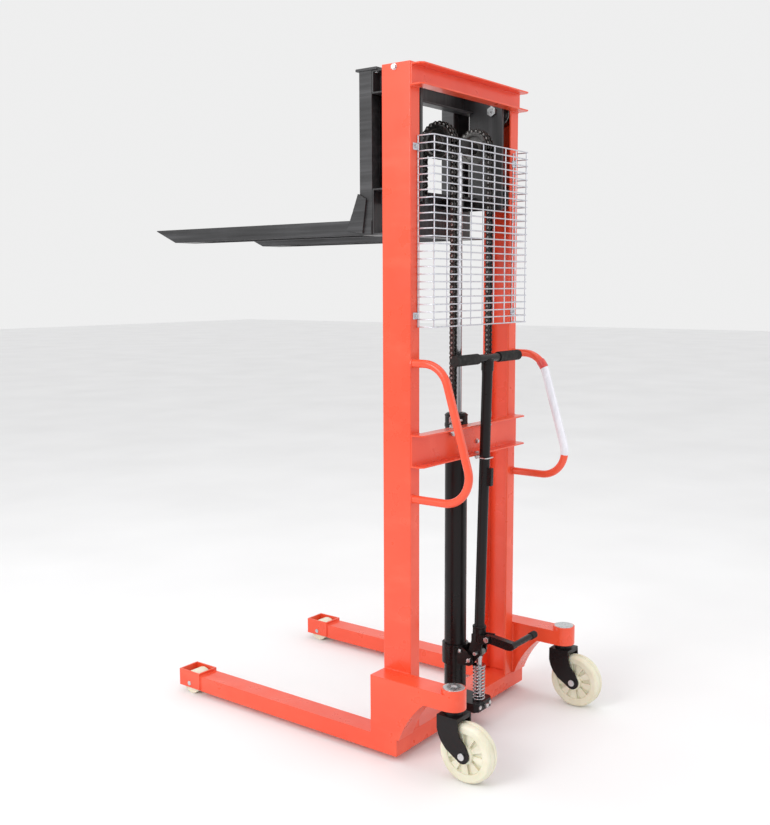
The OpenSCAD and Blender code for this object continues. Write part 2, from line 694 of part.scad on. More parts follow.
module handle_tube() color(BLACK) at_mast() at_socket() difference() {
    union() {
        cylinder(h = handle_l - 8, r = handle_d / 2, $fn = 48);
        translate([0, 0, 32 + gap]) cylinder(h = 8, r = handle_d / 2 + 6, $fn = 48);
        translate([-8, -handle_d / 2 - 14, 512]) cube([16, 22, 58]);
    }
    translate([0, 0, -1]) cylinder(h = handle_l, r = handle_d / 2 - 3, $fn = 48);
}

module t_bar() color(BLACK) at_mast() at_socket() difference() {
    union() {
        bar_x(-tbar_l / 2, tbar_l / 2, 0, handle_l, tbar_d / 2);
        translate([0, 0, handle_l - 40]) cylinder(h = 40, r = handle_d / 2 + 3, $fn = 48);
    }
    translate([0, 0, handle_l - 41]) cylinder(h = 33, r = handle_d / 2, $fn = 48);
}

module handle_grips() color(BLACK) at_mast() at_socket() pair() difference() {
    bar_x(tbar_l / 2 - grip_l, tbar_l / 2 + 2, 0, handle_l, tbar_d / 2 + grip_t);
    bar_x(0, tbar_l / 2, 0, handle_l, tbar_d / 2);
}

module pump_plunger() color(STEEL) at_mast() {
    bar_z(block_top - 3, plunger_top, 0, -plunger_y, plunger_d / 2);
    bar_z(seat_z, seat_z + 4, 0, -plunger_y, spring_d / 2 + 1);
    bar_z(plunger_top - 9, plunger_top, 0, -plunger_y, lever_gap - 1);
}

module pump_spring() color(STEEL) at_mast() difference() {
    bar_z(block_top, seat_z, 0, -plunger_y, spring_d / 2);
    bar_z(block_top - 1, seat_z + 1, 0, -plunger_y, spring_d / 2 - spring_wire);
}

module release_valve() color(STEEL) at_mast() {
    bar_y(-block_d - 6, -block_d + 11, 0, block_top - block_h / 2, 5);
    translate([0, -block_d - 6, block_top - block_h / 2]) rotate([90, 0, 0]) cylinder(h = 6, r = 8, $fn = 6);
}

// Moves to a caster's swivel axis at floor level
module at_swivel(side) { at_mast() translate([side * leg_x, -swivel_y, 0]) children(); }

module caster_fork(side) color(BLACK) at_swivel(side) difference() {
    half = fork_gap / 2;
    union() {
        block([-half - fork_t, -36, crown_top - fork_t], [half + fork_t, 36, crown_top]);
        block([-half, -36, crown_top - 14], [half, fork_t - 36, crown_top]);
        block([-half, 36 - fork_t, crown_top - 24], [half, 36, crown_top]);
        bar_z(crown_top, swivel_z - gap, 0, 0, 29);
        pair() {
            plate_yz(half, half + fork_t, [[36, crown_top], [36, crown_top - 42], [31, crown_top - 60],
                [22, crown_top - 78], [3, crown_top - 100], [-trail + 17, wheel_z - 16], [-trail - 20, wheel_z + 13],
                [-63, crown_top - 74], [-43, crown_top - 54], [-38, crown_top - 34], [-36, crown_top]]);
            bar_x(half, half + fork_t, -trail, wheel_z, 23);
        }
    }
    bar_z(crown_top - 20, swivel_z + 1, 0, 0, kingpin_d / 2 + fit);
    bar_x(-60, 60, -trail, wheel_z, axle_d / 2 + fit);
}
module caster_fork_left() { caster_fork(LEFT); }
module caster_fork_right() { caster_fork(RIGHT); }

// Kingpin and axle bolt of one caster
module caster_bolts(side) color(STEEL) at_swivel(side) {
    half = fork_gap / 2 + fork_t;
    bar_z(crown_top - fork_t - 8, swivel_z + swivel_h - 4, 0, 0, kingpin_d / 2);
    translate([0, 0, crown_top - fork_t - 8]) cylinder(h = 8, r = 15, $fn = 48);
    bar_x(-half, half, -trail, wheel_z, axle_d / 2);
    pair() bar_x(half, half + 6, -trail, wheel_z, 11);
}
module caster_bolts_left() { caster_bolts(LEFT); }
module caster_bolts_right() { caster_bolts(RIGHT); }

// Nylon wheel: hub, web and rim with a groove round the tread
module caster_wheel(side) color(NYLON) at_swivel(side) translate([0, -trail, wheel_z]) rotate([0, 90, 0]) {
    r = wheel_d / 2;
    bore = axle_d / 2 + fit;
    rotate_extrude($fn = 128) polygon([[bore, -hub_w / 2], [28, -hub_w / 2], [28, -12], [70, -12],
        [70, -wheel_w / 2], [r - 6, -wheel_w / 2], [r, -wheel_w / 2 + 8], [r, -2], [r - 2, -2],
        [r - 2, 2], [r, 2], [r, wheel_w / 2 - 8], [r - 6, wheel_w / 2], [70, wheel_w / 2],
        [70, 12], [28, 12], [28, hub_w / 2], [bore, hub_w / 2]]);
}
module caster_wheel_left() { caster_wheel(LEFT); }
module caster_wheel_right() { caster_wheel(RIGHT); }

module front_roller(side) color(NYLON) at_mast() on_side(side) difference() {
    bar_x(leg_x - roller_w / 2, leg_x + roller_w / 2, box_y, roller_z, roller_d / 2);
    bar_x(leg_x - roller_w, leg_x + roller_w, box_y, roller_z, roller_axle_d / 2 + fit);
}
module front_roller_left() { front_roller(LEFT); }
module front_roller_right() { front_roller(RIGHT); }

column_left();
column_right();
top_beam();
mid_beam();
base_beam();
leg_left();
leg_right();
skirt_left();
skirt_right();
swivel_tubes();
swivel_caps();
grab_handle_left();
grab_handle_right();
wire_guard();
frame_bolts();
chain_anchors();
lift_cylinder();
cylinder_gland();
pump_body();
pump_clamp();
handle_clip();
roller_axles();
rear_chains();
lever_pin();
piston_rod();
crosshead();
sheave_axle();
chain_wraps();
front_chains();
sheave_left();
sheave_right();
side_plates();
upper_crossbar();
lower_crossbar();
fork_left();
fork_right();
carriage_pins();
chain_brackets();
guide_roller_upper_left();
guide_roller_upper_right();
guide_roller_lower_left();
guide_roller_lower_right();
pump_lever();
lever_bolts();
foot_pedal();
lever_roller();
handle_tube();
t_bar();
handle_grips();
pump_plunger();
pump_spring();
release_valve();
caster_fork_left();
caster_fork_right();
caster_bolts_left();
caster_bolts_right();
caster_wheel_left();
caster_wheel_right();
front_roller_left();
front_roller_right();
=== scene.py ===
"""Looks of the hand-operated walkie stacker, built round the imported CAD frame."""
import json
import math
from math import cos, pi, radians, sin

import bmesh
import bpy
from mathutils import Matrix, Vector, noise

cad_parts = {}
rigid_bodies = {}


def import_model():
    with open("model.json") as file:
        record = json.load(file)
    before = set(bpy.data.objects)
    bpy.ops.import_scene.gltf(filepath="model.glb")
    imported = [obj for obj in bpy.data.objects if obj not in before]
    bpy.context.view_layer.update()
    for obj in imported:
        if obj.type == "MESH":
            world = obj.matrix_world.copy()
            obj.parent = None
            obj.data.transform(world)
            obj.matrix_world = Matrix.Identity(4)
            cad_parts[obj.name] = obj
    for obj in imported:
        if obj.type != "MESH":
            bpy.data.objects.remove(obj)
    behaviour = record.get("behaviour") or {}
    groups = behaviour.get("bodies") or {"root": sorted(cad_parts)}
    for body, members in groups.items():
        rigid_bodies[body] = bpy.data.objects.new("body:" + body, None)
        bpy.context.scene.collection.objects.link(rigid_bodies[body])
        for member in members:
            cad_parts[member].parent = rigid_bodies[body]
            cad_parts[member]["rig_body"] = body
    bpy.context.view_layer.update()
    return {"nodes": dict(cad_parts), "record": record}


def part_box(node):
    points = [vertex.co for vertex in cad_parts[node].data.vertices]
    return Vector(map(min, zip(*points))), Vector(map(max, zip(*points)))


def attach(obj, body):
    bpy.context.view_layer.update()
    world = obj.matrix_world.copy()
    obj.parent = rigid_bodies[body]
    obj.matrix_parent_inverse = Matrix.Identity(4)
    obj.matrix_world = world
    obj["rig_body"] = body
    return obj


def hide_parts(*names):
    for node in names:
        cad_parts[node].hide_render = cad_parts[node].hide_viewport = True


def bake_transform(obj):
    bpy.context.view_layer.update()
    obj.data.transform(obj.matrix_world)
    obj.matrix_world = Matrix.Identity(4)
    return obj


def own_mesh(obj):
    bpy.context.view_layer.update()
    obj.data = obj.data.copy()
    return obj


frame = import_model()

MM = 0.001
MAST_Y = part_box("column_left")[0].y
SLOT_OF = {row["node"]: row["material_slot"] for row in frame["record"]["subparts"]}

# Heights and places in millimetres, in the mast's frame: y = 0 is the rear face of the columns.
COL_X = 313
LEG_X = 350.5
SWIVEL_Y = -184.5
SHEAVE_Z = 1898
RAM_Y = 40
CHAIN_X = 105
CHAIN_REAR_Y = -16
CHAIN_FRONT_Y = 96
SHEAVE_R = 56
ANCHOR_Z = 1044
BRACKET_TOP = 1740
HANDLE_TILT = 1.5
SOCKET = (0, -54, 306)
HANDLE_L = 924
TOP_BEAM_EDGES = (2035, 2098)
MID_BEAM_EDGES = (912, 1012)
GRAB_X, GRAB_LOW, GRAB_TOP, GRAB_BEND = 300.5, 814, 1228, 85
GUARD_LOW, GUARD_TOP, GUARD_X, GUARD_Y = 1334, 1898, 279, -60
GUARD_TAB_Z = (GUARD_TOP - 34, GUARD_LOW + 35)
GLAND_LOW, GLAND_TOP = 1000, 1047
GUIDE_X, GUIDE_Y = 284, 52
PLUNGER_Y, PLUNGER_STROKE = -54.5, 26
LEVER_PIN = (-34, 230)
PEDAL = (-180, 300)
HOOK_X, HOOK_Y, HOOK_Z = 22, -26, 908
WHEEL_Y, WHEEL_Z = SWIVEL_Y - 52.5, 90
LOAD_ROLLER = (924, 40)


def at(x, y, z):
    """The point in the part's frame, in metres, of a place in the mast's frame in millimetres."""
    return Vector((x * MM, MAST_Y + y * MM, z * MM))


def along(axis, x, y, z):
    """Matrix that puts local +Z on the named axis at a place in the mast's frame."""
    turns = {"x": Matrix.Rotation(pi / 2, 4, "Y"), "-x": Matrix.Rotation(-pi / 2, 4, "Y"),
             "y": Matrix.Rotation(-pi / 2, 4, "X"), "-y": Matrix.Rotation(pi / 2, 4, "X"),
             "z": Matrix.Identity(4), "-z": Matrix.Rotation(pi, 4, "X")}
    return Matrix.Translation(at(x, y, z)) @ turns[axis]


def at_socket(up=0.0):
    """Matrix of the pump handle's own axis, a height in millimetres above its socket."""
    lean = Matrix.Rotation(radians(HANDLE_TILT), 4, "X")
    return Matrix.Translation(at(*SOCKET)) @ lean @ Matrix.Translation((0, 0, up * MM))


# ---------------------------------------------------------------- materials

class Look:
    """A procedural material under construction."""

    def __init__(self, name, **sockets):
        self.material = bpy.data.materials.new(name)
        self.material.use_nodes = True
        self.tree = self.material.node_tree
        self.shader = self.tree.nodes["Principled BSDF"]
        for key, value in sockets.items():
            self.shader.inputs[key.replace("_", " ")].default_value = value

    def node(self, kind, **values):
        made = self.tree.nodes.new(kind)
        for key, value in values.items():
            setattr(made, key, value)
        return made

    def link(self, source, target):
        self.tree.links.new(source, target)

    def noise(self, scale, stretch=(1, 1, 1), detail=3, rough=0.5, shift=0.0):
        place = self.node("ShaderNodeTexCoord")
        mapping = self.node("ShaderNodeMapping")
        mapping.inputs["Scale"].default_value = stretch
        mapping.inputs["Location"].default_value = (shift, shift * 0.7, shift * 1.3)
        texture = self.node("ShaderNodeTexNoise")
        texture.inputs["Scale"].default_value = scale
        texture.inputs["Detail"].default_value = detail
        texture.inputs["Roughness"].default_value = rough
        self.link(place.outputs["Object"], mapping.inputs["Vector"])
        self.link(mapping.outputs["Vector"], texture.inputs["Vector"])
        return texture.outputs["Fac"]

    def ramp(self, value, *stops):
        made = self.node("ShaderNodeValToRGB")
        ramp = made.color_ramp
        for i, (position, colour) in enumerate(stops):
            stop = ramp.elements[i] if i < 2 else ramp.elements.new(position)
            stop.position = position
            stop.color = (*colour, 1) if len(colour) == 3 else colour
        self.link(value, made.inputs["Fac"])
        return made.outputs["Color"]

    def span(self, value, low, high, to_low, to_high):
        made = self.node("ShaderNodeMapRange")
        for key, number in zip(("From Min", "From Max", "To Min", "To Max"), (low, high, to_low, to_high)):
            made.inputs[key].default_value = number
        self.link(value, made.inputs["Value"])
        return made.outputs["Result"]

    def times(self, a, b):
        made = self.node("ShaderNodeMath", operation="MULTIPLY")
        self.link(a, made.inputs[0])
        self.link(b, made.inputs[1])
        return made.outputs["Value"]

    def mix(self, factor, a, b):
        made = self.node("ShaderNodeMix", data_type="RGBA")
        self.link(factor, made.inputs[0])
        for socket, colour in ((made.inputs[6], a), (made.inputs[7], b)):
            if isinstance(colour, tuple):
                socket.default_value = (*colour, 1)
            else:
                self.link(colour, socket)
        return made.outputs[2]

    def colour(self, socket):
        self.link(socket, self.shader.inputs["Base Color"])

    def roughness(self, socket):
        self.link(socket, self.shader.inputs["Roughness"])

    def bump(self, height, distance, strength=1.0):
        made = self.node("ShaderNodeBump")
        made.inputs["Strength"].default_value = strength
        made.inputs["Distance"].default_value = distance
        self.link(height, made.inputs["Height"])
        self.link(made.outputs["Normal"], self.shader.inputs["Normal"])


def enamel(name, tones, chip, chips, coat, dust, specular=0.5):
    """Sprayed gloss enamel: slow tone drift, orange peel, small chips down to primer, light dust."""
    look = Look(name, Coat_Weight=coat, Coat_Roughness=0.12, IOR=1.5, Specular_IOR_Level=specular)
    base = look.ramp(look.noise(3.1, detail=2), (0.3, tones[0]), (0.7, tones[1]))
    smear = look.span(look.noise(9, (1, 0.35, 1), 5, 0.6, 3.0), 0.56, 0.78, 0.0, 0.5)
    base = look.mix(smear, base, dust)
    patches = look.span(look.noise(5.5, detail=1, shift=5.0), 0.5, 0.62, 0.0, 1.0)
    specks = look.span(look.noise(190, detail=3, rough=0.65, shift=2.0), chips, chips + 0.03, 0.0, 1.0)
    mask = look.times(patches, specks)
    look.colour(look.mix(mask, base, chip))
    look.roughness(look.span(look.noise(14, detail=4, shift=1.0), 0.3, 0.7, 0.24, 0.42))
    look.bump(look.noise(420, detail=1), 0.0001, 0.55)
    return look.material


def metal(name, dark, light, rough, scale=40, stretch=(1, 1, 1), relief=0.00003, metallic=1.0):
    """Plated or machined steel with uneven tone and finely scratched gloss."""
    look = Look(name, Metallic=metallic)
    tone = look.noise(scale, stretch, 4, 0.6)
    look.colour(look.ramp(tone, (0.3, dark), (0.7, light)))
    look.roughness(look.span(look.noise(scale * 2.3, stretch, 3, 0.6, 4.0), 0.3, 0.7, *rough))
    look.bump(look.noise(scale * 8, stretch, 2, 0.5, 6.0), relief, 0.6)
    return look.material


def streaked(name, stretch):
    """Black paint over rolled steel: fine streaks along the rolling direction and a grey bloom."""
    look = Look(name, Coat_Weight=0.12, Coat_Roughness=0.25)
    streak = look.noise(1.0, stretch, 5, 0.65)
    base = look.ramp(streak, (0.34, (0.010, 0.010, 0.011)), (0.52, (0.024, 0.024, 0.026)),
                     (0.72, (0.062, 0.062, 0.066)))
    bloom = look.span(look.noise(7, (1, 1, 1), 4, 0.6, 2.0), 0.5, 0.75, 0.0, 0.55)
    look.colour(look.mix(bloom, base, (0.05, 0.05, 0.054)))
    look.roughness(look.span(streak, 0.3, 0.7, 0.32, 0.55))
    look.bump(streak, 0.0002, 0.5)
    return look.material


def nylon(name):
    """Cast nylon: creamy white, a little translucent, with grey scuffs."""
    look = Look(name, Subsurface_Weight=0.12, Subsurface_Scale=0.004, IOR=1.5)
    base = look.ramp(look.noise(16, detail=3), (0.3, (0.70, 0.66, 0.49)), (0.7, (0.82, 0.79, 0.65)))
    scuff = look.span(look.noise(75, (1, 1, 1), 5, 0.7, 3.0), 0.6, 0.74, 0.0, 0.4)
    look.colour(look.mix(scuff, base, (0.42, 0.40, 0.33)))
    look.roughness(look.span(look.noise(60, detail=3, shift=1.0), 0.3, 0.7, 0.34, 0.52))
    look.bump(look.noise(260, detail=2), 0.00012, 0.5)
    return look.material


def rubber(name):
    look = Look(name, Specular_IOR_Level=0.2)
    base = look.ramp(look.noise(60, detail=4), (0.3, (0.010, 0.010, 0.010)), (0.75, (0.032, 0.031, 0.030)))
    look.colour(base)
    look.roughness(look.span(look.noise(120, detail=3, shift=1.0), 0.3, 0.7, 0.55, 0.78))
    look.bump(look.noise(900, detail=2), 0.00015, 0.7)
    return look.material


def film(name, low, high):
    """Thin plastic wrapping film with crinkles."""
    look = Look(name, Coat_Weight=0.5, Coat_Roughness=0.08)
    crinkle = look.noise(34, (1, 1, 0.4), 4, 0.6)
    look.colour(look.ramp(crinkle, (0.25, low), (0.6, high)))
    look.roughness(look.span(crinkle, 0.3, 0.7, 0.12, 0.4))
    look.bump(crinkle, 0.0006, 0.6)
    return look.material


ORANGE = enamel("orange_enamel", ((0.80, 0.068, 0.022), (0.88, 0.084, 0.029)), (0.20, 0.03, 0.018),
                chips=0.71, coat=0.3, dust=(0.94, 0.14, 0.07))
BLACK = enamel("black_enamel", ((0.006, 0.0042, 0.0046), (0.011, 0.0082, 0.0088)), (0.10, 0.095, 0.095),
               chips=0.74, coat=0.06, dust=(0.020, 0.016, 0.017), specular=0.22)
FORK = streaked("fork_black_lengthwise", (46, 1.6, 60))
SHANK = streaked("carriage_black_upright", (60, 46, 2.2))
ZINC = metal("zinc_plate", (0.48, 0.49, 0.50), (0.74, 0.75, 0.76), (0.22, 0.42))
GROUND = metal("ground_steel", (0.13, 0.125, 0.12), (0.30, 0.295, 0.29), (0.24, 0.46), 55)
CHROME = metal("hard_chrome", (0.34, 0.34, 0.36), (0.52, 0.52, 0.54), (0.10, 0.2), 30, (1, 1, 0.2), 0.00001)
WIRE = metal("galvanised_wire", (0.52, 0.53, 0.58), (0.74, 0.75, 0.80), (0.26, 0.44), 50, metallic=0.7)
CHAIN = metal("oiled_chain", (0.030, 0.028, 0.028), (0.125, 0.118, 0.112), (0.2, 0.45), 130, metallic=0.85)
PIN = metal("pin_steel", (0.30, 0.29, 0.28), (0.55, 0.54, 0.53), (0.18, 0.36), 130, metallic=0.9)
NYLON = nylon("cast_nylon")
RUBBER = rubber("grip_foam")
FILM = film("white_film", (0.74, 0.74, 0.80), (0.84, 0.84, 0.90))
BAND = film("red_band", (0.55, 0.03, 0.03), (0.72, 0.06, 0.05))

LOOK_OF_SLOT = {"orange_paint": ORANGE, "black_paint": BLACK, "zinc_steel": ZINC, "ground_steel": GROUND,
                "chrome_rod": CHROME, "guard_wire": WIRE, "chain_steel": CHAIN, "nylon": NYLON,
                "grip_rubber": RUBBER}


# ---------------------------------------------------------------- mesh tools

SHARP = radians(32)


def emit(name, mesh_tool, body, look, replaced=(), bevel=0.0):
    """Turns a bmesh into a piece: rounded edges, smooth shading, its body and what it replaces."""
    bmesh.ops.remove_doubles(mesh_tool, verts=mesh_tool.verts, dist=2e-6)
    bmesh.ops.dissolve_degenerate(mesh_tool, dist=1e-6, edges=mesh_tool.edges)
    bmesh.ops.recalc_face_normals(mesh_tool, faces=mesh_tool.faces)
    mesh = bpy.data.meshes.new(name)
    mesh_tool.to_mesh(mesh)
    mesh_tool.free()
    piece = bpy.data.objects.new(name, mesh)
    bpy.context.scene.collection.objects.link(piece)
    mesh.materials.append(look)
    for polygon in mesh.polygons:
        polygon.use_smooth = True
    if bevel:
        rounding = piece.modifiers.new("edges", "BEVEL")
        rounding.width = bevel * MM
        rounding.segments = 2
        rounding.limit_method = "ANGLE"
        rounding.angle_limit = SHARP
        rounding.miter_outer = "MITER_ARC"
        weights = piece.modifiers.new("shading", "WEIGHTED_NORMAL")
        weights.keep_sharp = True
    else:
        mesh.set_sharp_from_angle(angle=SHARP)
    if replaced:
        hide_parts(*replaced)
    if body:
        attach(piece, body)
    return piece


def dress(node, bevel, look=None):
    """A CAD node with its edges rounded and its material's detail."""
    source = frame["nodes"][node]
    tool = bmesh.new()
    tool.from_mesh(source.data)
    bmesh.ops.remove_doubles(tool, verts=tool.verts, dist=1e-5)
    bmesh.ops.dissolve_limit(tool, angle_limit=radians(1.2), verts=tool.verts, edges=tool.edges)
    slot = SLOT_OF[node]
    emit(node + "_finish", tool, source["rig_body"], look or LOOK_OF_SLOT[slot], (node,), bevel)


def prism(tool, outline, place, low, high):
    """Closed prism: a 2-D outline in the local x and y of place, between two heights, in millimetres."""
    rings = [[tool.verts.new(place @ Vector((x * MM, y * MM, h * MM))) for x, y in outline]
             for h in (low, high)]
    count = len(outline)
    for i in range(count):
        j = (i + 1) % count
        tool.faces.new((rings[0][i], rings[0][j], rings[1][j], rings[1][i]))
    tool.faces.new(rings[0][::-1])
    tool.faces.new(rings[1])


def lathe(tool, profile, place, sides=48, closed=False):
    """Surface turned round the local z of place; the profile is (height, radius) in millimetres."""
    rings = []
    for height, radius in profile:
        if radius < 1e-6:
            rings.append([tool.verts.new(place @ Vector((0, 0, height * MM)))] * sides)
        else:
            turns = [2 * pi * i / sides for i in range(sides)]
            circle = [Vector((radius * cos(a) * MM, radius * sin(a) * MM, height * MM)) for a in turns]
            rings.append([tool.verts.new(place @ spot) for spot in circle])
    pairs = list(zip(rings, rings[1:])) + ([(rings[-1], rings[0])] if closed else [])
    for a, b in pairs:
        for i in range(sides):
            j = (i + 1) % sides
            corners = list(dict.fromkeys((a[i], a[j], b[j], b[i])))
            if len(corners) > 2:
                tool.faces.new(corners)


def tube(tool, points, radius, sides=12, swell=None):
    """Round bar through points in metres; swell gives the radius at each station in millimetres."""
    points = [Vector(p) for p in points]
    count = len(points)
    heading = (points[1] - points[0]).normalized()
    side = heading.orthogonal().normalized()
    rings = []
    for i, point in enumerate(points):
        ahead = points[min(i + 1, count - 1)] - points[max(i - 1, 0)]
        ahead.normalize()
        side = (side - side.dot(ahead) * ahead).normalized()
        other = ahead.cross(side)
        r = (swell[i] if swell else radius) * MM
        turns = [2 * pi * k / sides for k in range(sides)]
        rings.append([tool.verts.new(point + r * (cos(a) * side + sin(a) * other)) for a in turns])
    for a, b in zip(rings, rings[1:]):
        for k in range(sides):
            m = (k + 1) % sides
            tool.faces.new((a[k], a[m], b[m], b[k]))
    tool.faces.new(rings[0][::-1])
    tool.faces.new(rings[-1])


def fillet_path(corners, radius, steps=6):
    """Points in metres along a polyline whose inner corners are rounded; corners in the mast's frame."""
    spots = [Vector(c) for c in corners]
    path = [spots[0]]
    for before, corner, after in zip(spots, spots[1:], spots[2:]):
        a, b = (before - corner).normalized(), (after - corner).normalized()
        half = a.angle(b) / 2
        reach = radius / math.tan(half)
        centre = corner + (a + b).normalized() * (radius / sin(half))
        start, end = corner + a * reach, corner + b * reach
        u, v = start - centre, end - centre
        turn = u.angle(v)
        for i in range(steps + 1):
            t = i / steps
            path.append(centre + (u * sin((1 - t) * turn) + v * sin(t * turn)) / sin(turn))
    path.append(spots[-1])
    return [at(*p) for p in path]


def block_outline(half_x, half_y):
    """Outline of a rectangle by its half sizes."""
    return [(-half_x, -half_y), (half_x, -half_y), (half_x, half_y), (-half_x, half_y)]


def hexagon(across):
    """Outline of a hexagon by its width over the flats."""
    r = across / 2 / cos(pi / 6)
    return [(r * cos(pi / 3 * i), r * sin(pi / 3 * i)) for i in range(6)]


def hex_bolt(tool, place, across, height, washer):
    """Hexagon head with a chamfered crown, on a washer."""
    base = 1.4 if washer else 0
    if washer:
        lathe(tool, [(0, 0), (0, washer / 2), (base, washer / 2), (base, 0)], place, 28)
    prism(tool, hexagon(across), place, base, base + height - 0.8)
    r = across / 2 * 0.96
    lathe(tool, [(base + height - 0.8, 0), (base + height - 0.8, r), (base + height, r * 0.86),
                 (base + height, 0)], place, 24)


def mirrored(half):
    """A turned profile with its half on the far side of height 0 put before it."""
    return [(-height, radius) for height, radius in half[::-1]] + half


def rounded(profile, radius, steps=3):
    """A turned profile with its inner corners filleted."""
    spots = [Vector(p) for p in profile]
    out = [spots[0]]
    for before, corner, after in zip(spots, spots[1:], spots[2:]):
        a, b = before - corner, after - corner
        reach = min(radius, a.length * 0.45, b.length * 0.45)
        p, q = corner + a.normalized() * reach, corner + b.normalized() * reach
        for i in range(steps + 1):
            t = i / steps
            out.append(p * (1 - t) ** 2 + corner * 2 * t * (1 - t) + q * t ** 2)
    out.append(spots[-1])
    return [tuple(p) for p in out]


def weld(tool, a, b, radius=3.2):
    """A weld bead between two places in the mast's frame."""
    start, end = at(*a), at(*b)
    length = (end - start).length
    count = max(6, int(length / 0.0022))
    points, radii = [], []
    for i in range(count + 1):
        t = i / count
        p = start.lerp(end, t)
        wobble = noise.noise(p * 130)
        points.append(p + Vector((0.35, 0.35, 0.35)) * wobble * MM)
        edge = min(1.0, 4 * min(t, 1 - t) * length / 0.02 + 0.45)
        ripple = 0.38 * sin(i * 2 * pi / 2.6) + 0.9 * noise.noise(p * 60 + Vector((7, 3, 1)))
        radii.append((radius + ripple) * edge)
    tube(tool, points, radius, 8, radii)


# ---------------------------------------------------------------- mast and base

for name in ("column_left", "column_right"):
    dress(name, 2.6)
for name in ("leg_left", "leg_right"):
    dress(name, 1.8)
dress("base_beam", 2.2)
for name in ("skirt_left", "skirt_right"):
    dress(name, 2.2)
dress("swivel_tubes", 1.6)


def beam(node, trim):
    """A cross channel whose flange corners are cut back at the ends."""
    low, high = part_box(node)
    sheet = 0.005
    outer, inner = low.y, high.y
    web = inner - sheet
    section = [(inner, low.z), (inner, high.z), (outer, high.z), (outer, high.z - sheet),
               (web, high.z - sheet), (web, low.z + sheet), (outer, low.z + sheet), (outer, low.z)]
    tool = bmesh.new()
    rings = []
    for x, cut in ((low.x, trim), (low.x + trim, 0), (high.x - trim, 0), (high.x, trim)):
        rings.append([tool.verts.new((x, y + cut if y == outer else y, z)) for y, z in section])
    for a, b in zip(rings, rings[1:]):
        for i in range(8):
            j = (i + 1) % 8
            tool.faces.new((a[i], a[j], b[j], b[i]))
    tool.faces.new(rings[0])
    tool.faces.new(rings[-1][::-1])
    emit(node + "_finish", tool, "mast", ORANGE, (node,), 1.4)


beam("top_beam", 0.012)
beam("mid_beam", 0.012)

tool = bmesh.new()
for side in (-1, 1):
    for z in TOP_BEAM_EDGES + MID_BEAM_EDGES:
        weld(tool, (side * (COL_X - 1), -1, z), (side * (COL_X - 46), -1, z), 2.6)
    weld(tool, (side * COL_X, -1, 80), (side * COL_X, -1, 258), 3.4)
    weld(tool, (side * COL_X, 100.5, 262), (side * COL_X, 3, 262), 3.0)
    weld(tool, (side * (COL_X + 1), 101, 76), (side * (COL_X + 74), 101, 76), 3.0)
    weld(tool, (side * COL_X, 104.5, 24), (side * COL_X, 104.5, 74), 3.0)
    weld(tool, (side * (COL_X - 47), 1, 75), (side * (COL_X - 1), 1, 75), 3.0)
    weld(tool, (side * (COL_X - 47), 103, 75), (side * (COL_X - 1), 103, 75), 3.0)
    weld(tool, (side * (LEG_X - 37), 872, 75), (side * (LEG_X + 37), 872, 75), 2.4)
    for x in (LEG_X - 37.5, LEG_X + 37.5):
        weld(tool, (side * x, 872, 27), (side * x, 872, 74), 2.4)
    for z in (GRAB_LOW, GRAB_TOP):
        turns = [2 * pi * i / 40 for i in range(41)]
        ring = [at(side * GRAB_X + 13.2 * cos(a), -0.8, z + 13.2 * sin(a)) for a in turns]
        swell = [2.4 + 0.4 * sin(i * 2.3) for i in range(41)]
        tube(tool, ring, 2.4, 8, swell)
emit("weld_beads", tool, "mast", ORANGE)

# Swivel caps: shallow domes with a centre dimple
tool = bmesh.new()
for side in (-1, 1):
    lathe(tool, rounded([(276, 0), (276, 33), (277.2, 33), (278.3, 30), (279, 22), (279, 9), (277.2, 6),
                         (276.9, 3), (277.8, 0)], 1.0), along("z", side * LEG_X, SWIVEL_Y, 0), 64)
emit("swivel_cap_discs", tool, "mast", ZINC, ("swivel_caps",))


def handle_line(side, steps):
    """Centre line of a grab handle, from its upper end to its lower one, in the mast's frame."""
    x = side * GRAB_X
    corners = [(x, 0, GRAB_TOP), (x, -106, GRAB_TOP), (x, -230, GRAB_LOW), (x, 0, GRAB_LOW)]
    return fillet_path(corners, GRAB_BEND, steps)


for side, node in ((-1, "grab_handle_left"), (1, "grab_handle_right")):
    tool = bmesh.new()
    tube(tool, handle_line(side, 16), 12.5, 32)
    emit(node + "_tube", tool, "mast", ORANGE, (node,))


def stretch(points, low, high, count):
    """Evenly spaced points between two distances along a polyline, all in metres."""
    reached = [0.0]
    for p, q in zip(points, points[1:]):
        reached.append(reached[-1] + (q - p).length)
    out = []
    for i in range(count + 1):
        d = low + (high - low) * i / count
        k = max(j for j in range(len(points) - 1) if reached[j] <= d)
        out.append(points[k].lerp(points[k + 1], (d - reached[k]) / (reached[k + 1] - reached[k])))
    return out


# Film sleeve and a red band on the right-hand grab handle's leaning part
line = handle_line(1, 16)
bend_end = sum((q - p).length for p, q in zip(line[:17], line[1:18]))
lean_end = bend_end + (line[18] - line[17]).length
rings = 150
tool = bmesh.new()
radii = [13.7 + 0.4 * noise.noise(Vector((0, 0, i * 0.31)))
         + 0.3 * sin(i * 0.9) * noise.noise(Vector((3, 0, i * 0.09))) for i in range(rings + 1)]
tube(tool, stretch(line, bend_end - 0.026, lean_end + 0.034, rings), 14, 40, radii)
emit("film_sleeve", tool, "mast", FILM)
tool = bmesh.new()
tube(tool, stretch(line, bend_end - 0.042, bend_end - 0.014, 8), 15, 40,
     [14.2, 14.9, 15.1, 14.9, 15.0, 14.8, 15.0, 14.9, 14.3])
emit("film_band", tool, "mast", BAND)

